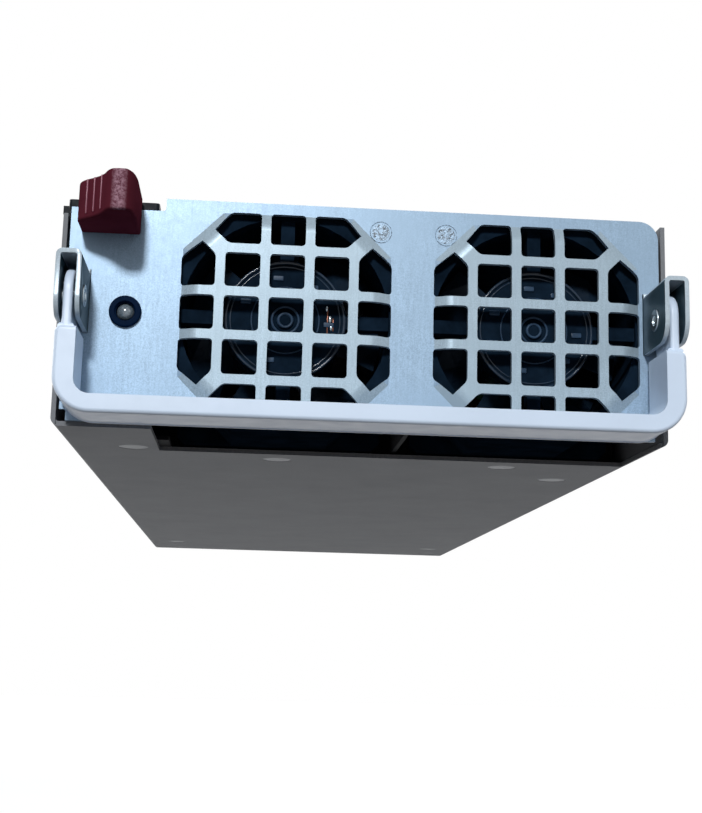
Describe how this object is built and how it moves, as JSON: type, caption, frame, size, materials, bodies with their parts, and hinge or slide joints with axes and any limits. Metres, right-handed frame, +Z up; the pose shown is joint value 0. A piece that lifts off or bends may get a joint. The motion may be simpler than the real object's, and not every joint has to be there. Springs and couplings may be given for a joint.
{
  "type": "hot swap server power supply",
  "caption": "Hot swap server power supply: flat sheet metal box with octagonal fan grilles, folding bail handle, sliding thumb latch, status lamp and rear docking plug.",
  "frame": {"origin": "middle of the underside: half width, half of the case length, bottom face of the tray", "axes": "X to the right seen from the handle end, Y from the handle end to the docking plug, Z up; the case is level and the handle hangs down"},
  "size_m": [0.1068, 0.2934, 0.0405],
  "materials": {
    "zinc_steel": "fine spangled zinc plate",
    "case_steel": "zinc plate, satin",
    "handle_coat": "satin light grey",
    "bracket_steel": "bright zinc plate",
    "latch_burgundy": "fine grained moulding",
    "latch_black": "black coated steel",
    "screw_steel": "bright plate",
    "spring_steel": "bright",
    "fan_black": "fine grained moulding",
    "bezel_navy": "smooth moulding",
    "lamp_lens": "clear, slightly frosted",
    "board_green": "solder mask",
    "insulator": "thin film",
    "ferrite": "sintered, dull",
    "winding": "enamelled wire under tape",
    "can_sleeve": "shrunk sleeve",
    "sink_aluminium": "extruded",
    "film_case": "moulded case",
    "plug_black": "glass filled moulding",
    "contact_plate": "gold flash"
  },
  "bodies": {
    "chassis": {"chassis_tray": "case_steel", "top_cover": "zinc_steel", "front_panel": "zinc_steel", "rear_panel": "zinc_steel", "fan_bracket": "case_steel", "fan_divider": "case_steel", "left_handle_bracket": "bracket_steel", "right_handle_bracket": "bracket_steel", "left_pivot_rivet": "screw_steel", "right_pivot_rivet": "screw_steel", "latch_bracket": "case_steel", "latch_studs": "screw_steel", "latch_spring": "spring_steel", "led_bezel": "bezel_navy", "led_lamp": "lamp_lens", "led_board": "board_green", "bottom_screws": "screw_steel", "cover_screws": "screw_steel", "side_rivets": "screw_steel", "insulating_sheet": "insulator", "main_board": "board_green", "board_standoffs": "screw_steel", "board_nuts": "screw_steel", "transformer_core": "ferrite", "transformer_winding": "winding", "bulk_capacitor_left": "can_sleeve", "bulk_capacitor_right": "can_sleeve", "output_capacitors": "can_sleeve", "film_capacitor": "film_case", "control_board": "board_green", "plug_housing": "plug_black", "power_blades": "contact_plate", "signal_pins": "contact_plate", "left_fan_frame": "fan_black", "right_fan_frame": "fan_black", "left_fan_screws": "screw_steel", "right_fan_screws": "screw_steel", "primary_heatsink": "sink_aluminium", "secondary_heatsink": "sink_aluminium", "input_choke": "winding", "boost_choke": "winding", "output_choke": "winding"},
    "left_fan": {"left_fan_rotor": "fan_black"},
    "right_fan": {"right_fan_rotor": "fan_black"},
    "handle": {"bail_handle": "handle_coat"},
    "latch": {"latch_plate": "latch_black", "latch_cap": "latch_burgundy"}
  },
  "joints": [
    {"name": "left_fan_spin", "type": "hinge", "parent": "chassis", "child": "left_fan", "pos_m": [-0.0141, -0.12, 0.02025], "axis": [0, 1, 0], "continuous": true},
    {"name": "right_fan_spin", "type": "hinge", "parent": "chassis", "child": "right_fan", "pos_m": [0.0297, -0.12, 0.02025], "axis": [0, 1, 0], "continuous": true},
    {"name": "handle_swing", "type": "hinge", "parent": "chassis", "child": "handle", "pos_m": [0.0005, -0.142, 0.02055], "axis": [-1, 0, 0], "range_deg": [0, 90]},
    {"name": "latch_slide", "type": "slide", "parent": "chassis", "child": "latch", "axis": [1, 0, 0], "range_m": [0, 0.002], "stiffness_N_per_m": 300, "springref_m": -0.004, "deforming": ["latch_spring"]}
  ]
}
